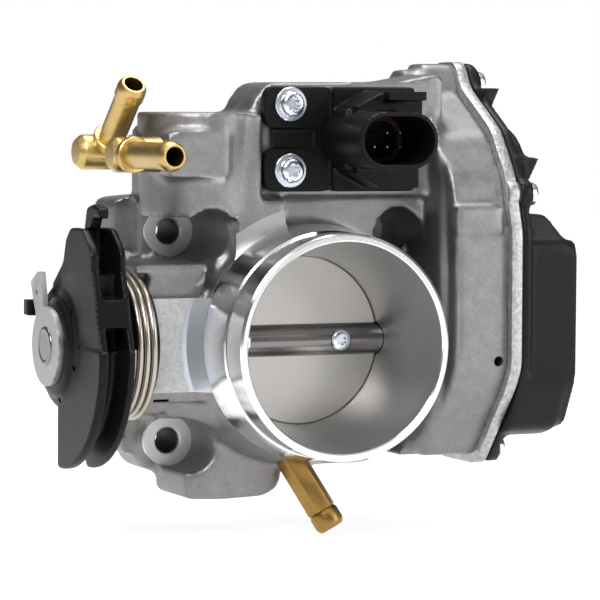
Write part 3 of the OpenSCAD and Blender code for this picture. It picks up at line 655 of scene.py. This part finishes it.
# ---------------------------------------------------------------- throttle
def throttle_shaft():
    bar = lathe("throttle_shaft", [(-82.25, 4.1), (-82.25, 4.3), (-82.4, 4.6), (-82.4, 5.4), (-82.2, 5.8),
                                   (-82.0, 5.9), (-81.95, 5.9), (-81.9, 4), (-34.2, 4),
                                   (-34, 4.2), (-34, 4.7), (-33.7, 5), (45.3, 5), (45.6, 4.7), (45.6, 3.5),
                                   (57.2, 3.5), (57.6, 3.1)], (0, SHAFT_Y, 0), ALONG_X, 64)
    paint(bar, SHAFT)
    slot = united("slot_cutter", [brick("plate_slot", (-26.2, SHAFT_Y - 1, -6), (26.2, SHAFT_Y + 1, 6))]
                  + [lathe("screw_seat", [(-SHAFT_Y + 4.2, 3.4), (-SHAFT_Y + 6, 3.4)], (x, 0, 0), ALONG_INLET,
                           32)
                     for x in PLATE_SCREWS])
    paint(slot, SHAFT)
    cut(bar, slot)
    return settle(bar, "throttle", ["throttle_shaft"])


PLATE_SCREWS = (-21, 12)


def throttle_plate():
    disc = lathe("throttle_plate", [(37.5, 25.55), (37.8, 25.85), (39.2, 25.85), (39.5, 25.55)], (0, 0, 0),
                 ALONG_INLET,
                 160)
    paint(disc, PLATE)
    return settle(disc, "throttle", ["throttle_plate"], 20)


def star_screw(name, head_r, head_h, recess_r, washer=0.0):
    """Pan-head screw along Z with its seat at 0: domed head, six-lobed recess and an optional flange."""
    stations = [(-1.5, 1.9), (0, 1.9)]
    if washer:
        stations += [(0, washer - 0.2), (0.15, washer), (0.9, washer), (1.1, washer - 0.25), (1.15, head_r)]
    else:
        stations += [(0, head_r)]
    base = stations[-1][0]
    stations += [(base + head_h * 0.55, head_r), (base + head_h * 0.85, head_r * 0.9),
                 (base + head_h, head_r * 0.72)]
    head = lathe(name, stations, sides=48)
    recess = slab("recess", star(recess_r), head_h, (0, 0, base + head_h * 0.38))
    cut(head, recess)
    return soften(head, 0.08, 1, 40)


def stand(part, origin, turn):
    """Turns and moves a finished part, in millimetres."""
    return place(part, origin, turn, 1.0)


def plate_screws():
    heads = []
    for x in PLATE_SCREWS:
        heads.append(stand(star_screw("plate_screw", 3.25, 1.7, 1.5), (x, SHAFT_Y - 4.2, 0), (90, 25, 0)))
    heads = joined("plate_screws", heads)
    paint(heads, ZINC)
    return settle(heads, "throttle", ["plate_screws"])


# ---------------------------------------------------------------- pulley side
CHEEK = [(-44, 32), (-48, 35.5), (-58, 35.5), (-64, 31), (-66.5, 28), (-66, 24), (-69.5, 15), (-72, 6),
         (-74.5, 0),
         (-38.5, 0), (-32, 18), (-41.5, 25)]


def groove_flanges():
    """The grooved quarter of the pulley below and in front of the shaft."""
    profile = [(-78, 20), (-78, 35.9), (-77.7, 36.3), (-77.2, 36.5), (-75.2, 36.5), (-73.2, 30), (-71, 30),
               (-68.8, 36.5),
               (-67.5, 36.5), (-67, 36), (-67, 20)]
    wheel = lathe("groove_wheel", profile, (0, SHAFT_Y, 0), ALONG_X, 128)
    quarter = slab_x("quarter", -82, -64, rounded([(SHAFT_Y, 0.5), (SHAFT_Y - 40, 0.5), (SHAFT_Y - 40, -40),
                                                   (SHAFT_Y, -40)], 1.5))
    return cut(wheel, quarter, "INTERSECT")


def cable_pulley():
    hub = lathe("hub", [(-80.4, 4.2), (-80.4, 12.4), (-80.2, 13.2), (-79.9, 14.2), (-79.4, 14.9),
                        (-78.6, 15.2),
                        (-78.3, 16.4), (-77.9, 17.6), (-77.0, 18.6), (-75.8, 19.3), (-74.2, 19.8),
                        (-73.2, 20.2),
                        (-73, 24.2), (-72.6, 24.6), (-68.2, 24.6), (-67, 21.6), (-65.4, 21.6), (-63.4, 12),
                        (-63.4, 4.2)], (0, SHAFT_Y, 0), ALONG_X, 128)
    parts = [hub, groove_flanges(), slab_x("outer_cheek", -77.6, -75.2, rounded(CHEEK, 1.4, 3)),
             slab_x("inner_cheek", -68.8, -67, rounded(CHEEK, 1.4, 3)),
             slab_x("groove_floor", -75.3, -68.7, [(-62, 22), (-60, 0), (-44, 0), (-44, 22)]),
             slab_x("stop_block", -75.3, -68.7, [(-69.4, 15.4), (-71.6, 7.4), (-60, 7.4), (-60, 15.4)]),
             slab_x("holder_bridge", -75.3, -68.7, [(-44.5, 32), (-50, 35), (-50, 22), (-44.5, 22)]),
             slab_x("hook", -73.4, -70.2,
                    rounded([(-48, 35), (-50, 41.4), (-55, 42.6), (-61, 41.4), (-61, 38.4),
                                                   (-56, 38.8), (-54, 35)], 0.8, 2)),
             brick("peg", (-83, -25.4, 8.2), (-74, -21.6, 13))]
    pulley = joined("cable_pulley", parts)
    melt(pulley, 0.5, 2)
    tools = [bar_x("hub_bore", -84, -60, 4)]
    for angle in range(0, 360, 60):
        a = math.radians(angle + 20)
        y, z = SHAFT_Y + 16.2 * math.cos(a), 16.2 * math.sin(a)
        tools.append(bar_x("dimple", -80, -77.9, 0.9, y, z, 20))
    mill(pulley, united("pulley_cutters", tools))
    paint(pulley, BLACK)
    return settle(pulley, "throttle", ["cable_pulley"], 30)


TAB = [(-34.2, 21.9), (-31.6, 21.8), (-25.4, 18.6), (-27.6, 13.4), (-29.6, 10), (-31, 5), (-37.6, 5),
       (-36.9, 12.3)]


def retaining_washer():
    washer = lathe("retaining_washer", [(-82, 11.8), (-80.4, 11.8)], (0, SHAFT_Y, 0), ALONG_X, 96)
    cut(washer, slab_x("tab", -82, -80.4, rounded(TAB, 0.6, 2)), "UNION")
    cut(washer, bar_x("washer_hole", -84, -79, 4))
    cut(washer, bar_x("tab_hole", -84, -79, 0.8, -31, 15.4, 24))
    soften(washer, 0.22, 2)
    paint(washer, WASHER)
    return settle(washer, "throttle", ["retaining_washer"])


def coil(name, x0, turns, pitch, mean_r, wire_r, start):
    """Round wire wound about the shaft."""
    clear_selection()
    bpy.ops.mesh.primitive_circle_add(vertices=14, radius=wire_r, fill_type="NOTHING")
    wire = made(name)
    bpy.ops.object.mode_set(mode="EDIT")
    bpy.ops.mesh.select_all(action="SELECT")
    bpy.ops.transform.rotate(value=math.radians(90), orient_axis="X", center_override=(0, 0, 0))
    bpy.ops.transform.translate(value=(mean_r, 0, 0))
    bpy.ops.object.mode_set(mode="OBJECT")
    steps = int(72 * turns)
    apply_modifier(wire, "SCREW", axis="Z", angle=TAU * turns, screw_offset=pitch * turns, steps=steps,
                   render_steps=steps, use_merge_vertices=False)
    bpy.ops.object.mode_set(mode="EDIT")
    bpy.ops.mesh.select_all(action="SELECT")
    bpy.ops.mesh.fill_holes(sides=0)
    bpy.ops.object.mode_set(mode="OBJECT")
    place(outwards(wire), (0, 0, 0), (0, 0, start))
    return stand(wire, (x0, SHAFT_Y, 0), ALONG_X)


def return_spring():
    spring = coil("return_spring", -62.3, 3.5, 2.2, 21.8, 1.0, -90)
    paint(spring, SPRING)
    return settle(spring, "body", ["return_spring"], 60)


def spring_spool():
    spool = lathe("spring_spool", [(-62.4, 8), (-62.4, 19.4), (-61.8, 20), (-53.6, 20), (-53, 19.4),
                                   (-53, 8)], (0, SHAFT_Y, 0), ALONG_X, 96, ring=True)
    paint(spool, BLACK)
    return settle(spool, "body", ["spring_spool"])


# ---------------------------------------------------------------- hose fittings
def nipple(name, length, axis, r_root=4.0):
    """Hose nipple with its bead, bored 5.6 mm, the bore painted dark brown as painted shade."""
    end = length
    tube = lathe(name, [(0, 2.8), (0, r_root), (2.6, r_root), (3, 4), (end - 6.6, 4), (end - 6.2, 4.05),
                        (end - 5.3, 4.4),
                        (end - 4.9, 4.45), (end - 2.2, 4.45), (end - 1.6, 4.4), (end - 0.5, 3.9), (end, 3.5),
                        (end, 2.9), (end - 0.3, 2.8)], (0, 0, 0), (0, 0, 0), 64, ring=True)
    place(tube, (0, 0, 4), (0, 0, 0), 1.0)
    fitting_axis(tube, *axis)
    paint(tube, BRASS)
    # The bore's faces get painted shade: dark brass on every face inside radius 2.84.
    tube.data.materials.append(BRASS_BORE_SHADE)
    origin, turns = axis
    way = Vector((0, 0, 1))
    for turn in reversed(turns):
        way = Euler([math.radians(a) for a in turn]).to_matrix() @ way
    for face in tube.data.polygons:
        offset = face.center / MM - Vector(origin)
        along = offset.dot(way)
        if (offset - way * along).length < 2.84:
            face.material_index = 1
    return tube


def elbow(name, x0, x1, x2, y, z, axis, collar_r, collar_h):
    """Cross-drilled brass body pressed into the casting, with a collar where the nipple leaves it."""
    body = lathe("elbow_body", [(x0, 3.1), (x0 + 0.1, 3.7), (x0 + 1.6, 5.0), (x0 + 2.2, 5.3), (x1 - 0.6, 5.3),
                                (x1, 4.8), (x1, 4.5), (x2, 4.5)], (0, y, z), ALONG_X, 48)
    collar = lathe("collar", [(0, 4.6), (collar_h - 0.9, collar_r), (collar_h - 0.3, collar_r),
                              (collar_h, collar_r - 0.35), (collar_h, 4.02), (collar_h - 1.5, 4.02)],
                   sides=64)
    fitting_axis(collar, *axis)
    cut(body, collar, "UNION")
    piece = joined(name, [body])
    paint(piece, BRASS)
    return piece


def front_fitting():
    settle(elbow("front_elbow", -64.5, -48.2, -36, -45, 56.8, FRONT_AXIS, 5.4, 6.4), "body", ["front_elbow"])
    settle(nipple("front_nipple", 27.5, FRONT_AXIS), "body", ["front_nipple"])


def rear_fitting():
    settle(elbow("rear_elbow", -67.5, -52.1, -40, -24, 57.2, REAR_AXIS, 5.6, 6.6), "body", ["rear_elbow"])
    settle(nipple("rear_nipple", 25, REAR_AXIS), "body", ["rear_nipple"])


def lower_nipple():
    root = lathe("lower_root", [(0, 2.8), (0, 4), (5, 4), (5.2, 2.8)], sides=48, ring=True)
    hexagon = lathe("lower_hex", [(4.9, 2.8), (4.9, 4.2), (5.4, 4.7), (24.2, 4.7), (24.9, 4.3), (25, 2.8)],
                    sides=6,
                    ring=True)
    bead = lathe("lower_bead", [(24.7, 2.8), (24.7, 4.0), (25.1, 4.3), (25.7, 4.6), (29, 4.6), (29.6, 4.4),
                                (30.5, 3.9),
                                (30.8, 3.4), (30.8, 2.9), (30.5, 2.8)], sides=64, ring=True)
    soften(hexagon, 0.25, 2)
    for part in (root, hexagon, bead):
        fitting_axis(part, *LOWER_AXIS)
    piece = joined("lower_nipple", [root, hexagon, bead])
    paint(piece, BRONZE)
    return settle(piece, "body", ["lower_nipple"])


# ---------------------------------------------------------------- connector
PLUG_X, PLUG_Z = 15.4, 61.5
SHROUD_W, SHROUD_H, SHROUD_Y = 25.8, 17.0, -77.0
PIN_PITCH = 4.2
CONNECTOR_SCREW_X = -7.3
CONNECTOR_SCREW_Z = (52, 72)


def connector_housing():
    parts = [
        slab_y("bracket", -49, -44.05, rounded([(34, 77.4), (6.5, 77.4), (6.5, 45.6), (34, 45.6)], 1.5, 3)),
        slab_y("upper_lobe", -47.5, -44.05, rounded([(7.5, 77.4), (-15.6, 77.4), (-15.6, 64.6), (7.5, 64.6)],
                                                    4)),
        slab_y("lower_lobe", -47.5, -44.05, rounded([(7.5, 58.8), (-15.6, 58.8), (-15.6, 45.6), (7.5, 45.6)],
                                                    4)),
        brick("lobe_web", (-12.5, -45.8, 58), (7.5, -44.05, 65.5)),
        brick("slot_end", (2, -47.5, 58), (7.5, -44.05, 65.5)),
        slab_y("shroud", SHROUD_Y, -48.9, stadium(PLUG_X, PLUG_Z, SHROUD_W, SHROUD_H, 24)),
        slab_y("shroud_foot", -58, -48.9, rounded(rect(PLUG_X + 3, PLUG_Z, 25, 19), 3, 4)),
        slab_y("upper_wing", -62, -48.9, [(30, 76), (17, 76), (8.5, 71.5), (8.5, 69), (30, 69)]),
        slab_y("lower_wing", -62, -48.9, [(29, 54), (8.5, 54), (8.5, 51.5), (17, 47), (29, 47)]),
        brick("latch", (17, -66, 73.2), (29.5, -60, 76)),
    ]
    housing = joined("connector_housing", parts)
    melt(housing, 0.5, 2)
    tools = [slab_y("plug_space", SHROUD_Y - 1, -52, stadium(PLUG_X, PLUG_Z, SHROUD_W - 2.6, SHROUD_H - 2.6,
                                                             24))]
    for z in CONNECTOR_SCREW_Z:
        tools.append(bar_y("screw_way", -50, -43, 2.2, CONNECTOR_SCREW_X, z, 32))
    mill(housing, united("connector_cutters", tools))
    paint(housing, BLACK)
    return settle(housing, "body", ["connector_housing"], 30)


def connector_pins():
    pins = []
    for row in (0, 1):
        for k in range(4):
            if row == 0 or k != 1:
                x, z = PLUG_X + (k - 1.5) * PIN_PITCH, PLUG_Z + (row - 0.5) * PIN_PITCH
                pin = lathe("pin", [(52, 0.62), (63.3, 0.62), (64, 0.3)], (0, 0, 0), (0, 0, 0), 4)
                pins.append(stand(pin, (x, 0, z), (90, 45, 0)))
    pins = joined("connector_pins", pins)
    paint(pins, PIN)
    return settle(pins, "body", ["connector_pins"])


def connector_screws():
    heads = []
    for z in CONNECTOR_SCREW_Z:
        screw = star_screw("connector_screw", 3.75, 2.4, 1.9, 5.2)
        heads.append(stand(screw, (CONNECTOR_SCREW_X, -47.5, z), (90, 10, 0)))
    heads = joined("connector_screws", heads)
    paint(heads, ZINC)
    return settle(heads, "body", ["connector_screws"])


# ---------------------------------------------------------------- gear cover
COVER_IN, COVER_TOP, DOME_TOP, BULGE_MID, BULGE_TOP = 64.8, 70.4, 72.6, 81.5, 85.0
DOME_R = 20.4
FINS = ((-30, 77.4, 71.6), (-51, 56, 74.8))
GEAR_Y, GEAR_Z = -31.5, 43.44


def gear_cover():
    parts = [
        slab_x("cover_lip", COVER_IN, COVER_IN + 3.4, rounded(inset(RIM, 0.4), 3)),
        slab_x("cover_crown", COVER_IN, COVER_TOP, rounded(inset(RIM, 6.5), 3)),
        bar_x("cover_dome", COVER_IN, DOME_TOP, DOME_R, GEAR_Y, GEAR_Z + 2),
        slab_x("motor_bulge", COVER_IN, BULGE_MID, rounded(BULGE, 3)),
        slab_x("outer_bulge", COVER_IN, BULGE_TOP, rounded(OUTER, 3)),
    ]
    for y, z, tip in FINS:
        parts.append(slab_y("fin", y - 3, y + 3, [(tip, z), (COVER_IN + 1, z), (COVER_IN + 1, z - 7),
                                                  (tip - 3.5, z - 7)]))
    for post in SCREW_POSTS:
        parts.append(bar_x("cover_post", COVER_IN, COVER_IN + 4.2, 4.4, *post))
    cover = melt(joined("gear_cover", parts), 0.75, 0)
    tools = [bar_x("screw_well", COVER_IN + 4.2, 92, 4.4, *post) for post in SCREW_POSTS]
    for tool in tools:
        mill(cover, tool)
    melt(cover, 0.75, 3)
    paint(cover, COVER)
    return settle(cover, "body", ["gear_cover"], 40)


def cover_screws():
    heads = []
    for y, z in SCREW_POSTS:
        heads.append(stand(star_screw("cover_screw", 3.5, 2.4, 1.6), (COVER_IN + 4.2, y, z), ALONG_X))
    heads = joined("cover_screws", heads)
    paint(heads, ZINC)
    return settle(heads, "body", ["cover_screws"])


# ---------------------------------------------------------------- more finishes
BLOCK_FACE = material("block_face", (0.52, 0.52, 0.52), 0.5, 0.6, mottle=0.3, spread=0.25, grain=1300,
                      blotch=400,
                      bump=0.8, bump_height=0.0002)
BLOCK_CONE = material("block_cone", (0.60, 0.63, 0.68), 0.34, 0.7, mottle=0.06, spread=0.1, grain=900,
                      rings=0.25,
                      ring_pitch=0.00035)
RIM_EDGE = material("rim_edge", (0.46, 0.46, 0.465), 0.45, 1.0, mottle=0.5, spread=0.4, grain=650, blotch=900,
                    bump=0.9,
                    bump_height=0.0003)
PIN = material("pin_tin", (0.45, 0.44, 0.42), 0.3, 1.0)
HIDDEN = {"shaft_bush": BRONZE, "shaft_bearing": ZINC, "pulley_seal": RUBBER, "bearing_seal": RUBBER,
          "connector_seal": SILICONE, "cover_gasket": RUBBER, "idle_motor": ZINC, "motor_pinion": BRASS,
          "intermediate_gear": GEAR, "gear_pin": ZINC, "idle_segment": GEAR, "wiper_rotor": BLACK,
          "sensor_board": BOARD}


def dress_hidden_nodes():
    for name, finish in HIDDEN.items():
        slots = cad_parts[name].material_slots
        for entry in slots:
            entry.material = finish


# ---------------------------------------------------------------- studio
def glowing_paper():
    """White sweep lit through from below, so that only a soft contact shadow shows on it."""
    paper = material("floor_paper", (0.35, 0.35, 0.35), 0.95, mottle=0.0, spread=0.0, specular=0.0)
    shader = paper.node_tree.nodes["Principled BSDF"]
    shader.inputs["Emission Color"].default_value = (1, 1, 1, 1)
    shader.inputs["Emission Strength"].default_value = 0.86
    return paper


def floor_and_light():
    low = cad_box[0]
    clear_selection()
    bpy.ops.mesh.primitive_plane_add(size=6, location=(0, 0, low[2] - 0.0005))
    floor = made("floor")
    bpy.ops.object.transform_apply(location=True, rotation=False, scale=False)
    floor.data.materials.append(glowing_paper())
    world = bpy.data.worlds.new("studio")
    bpy.context.scene.world = world
    world.use_nodes = True
    tree = world.node_tree
    back = tree.nodes["Background"]
    split = tree.nodes.new("ShaderNodeSeparateXYZ")
    tree.links.new(tree.nodes.new("ShaderNodeTexCoord").outputs["Generated"], split.inputs[0])
    ramp = tree.nodes.new("ShaderNodeValToRGB")
    ramp.color_ramp.elements[0].position, ramp.color_ramp.elements[0].color = 0.0, (0.35, 0.35, 0.35, 1)
    ramp.color_ramp.elements[1].position, ramp.color_ramp.elements[1].color = 1.0, (0.75, 0.75, 0.75, 1)
    for position, level in ((0.30, 0.10), (0.55, 0.16), (0.8, 0.55)):
        ramp.color_ramp.elements.new(position).color = (level, level, level, 1)
    tree.links.new(split.outputs["Z"], ramp.inputs["Fac"])
    mix = tree.nodes.new("ShaderNodeMix")
    mix.data_type = "RGBA"
    tree.links.new(tree.nodes.new("ShaderNodeLightPath").outputs["Is Camera Ray"], mix.inputs["Factor"])
    tree.links.new(ramp.outputs["Color"], mix.inputs["A"])
    mix.inputs["B"].default_value = (1, 1, 1, 1)
    tree.links.new(mix.outputs["Result"], back.inputs["Color"])
    back.inputs["Strength"].default_value = 1.0
    bpy.context.scene.view_settings.view_transform = "Standard"
    for name, spot, size, power, tint in LIGHTS:
        data = bpy.data.lights.new(name, "AREA")
        data.shape = "RECTANGLE"
        data.size, data.size_y = size
        data.energy = power
        data.color = tint
        lamp = bpy.data.objects.new(name, data)
        bpy.context.collection.objects.link(lamp)
        lamp.location = spot
        lamp.rotation_euler = (Vector((0, -0.03, 0.01)) - Vector(spot)).to_track_quat("-Z", "Y").to_euler()


LIGHTS = (
    ("key", (-0.5, -0.7, 0.75), (0.5, 0.5), 10.0, (1, 1, 1)),
    ("fill", (0.85, -0.9, 0.35), (0.5, 0.7), 5.0, (1, 1, 1)),
    ("top", (0.1, 0.1, 0.95), (0.7, 0.5), 7.0, (1, 1, 1)),
)


def camera():
    forward = Vector((0.403487, 0.912828, -0.062790)).normalized()
    up = Vector((0.019117, 0.060199, 0.998003))
    right = forward.cross(up).normalized()
    up = right.cross(forward)
    data = bpy.data.cameras.new("camera")
    data.lens, data.sensor_width = 192, 36
    data.clip_start, data.clip_end = 0.05, 20
    eye = bpy.data.objects.new("camera", data)
    bpy.context.collection.objects.link(eye)
    turn = Matrix((right, up, -forward)).transposed().to_4x4()
    eye.matrix_world = Matrix.Translation((-0.39494, -0.93293, 0.07368)) @ turn
    bpy.context.scene.camera = eye


camera()
floor_and_light()
casting()
block_front()
bolt_seats()
inlet_spigot()
cover_rim()
throttle_shaft()
throttle_plate()
plate_screws()
cable_pulley()
retaining_washer()
return_spring()
spring_spool()
front_fitting()
rear_fitting()
lower_nipple()
connector_housing()
connector_pins()
connector_screws()
gear_cover()
cover_screws()
dress_hidden_nodes()
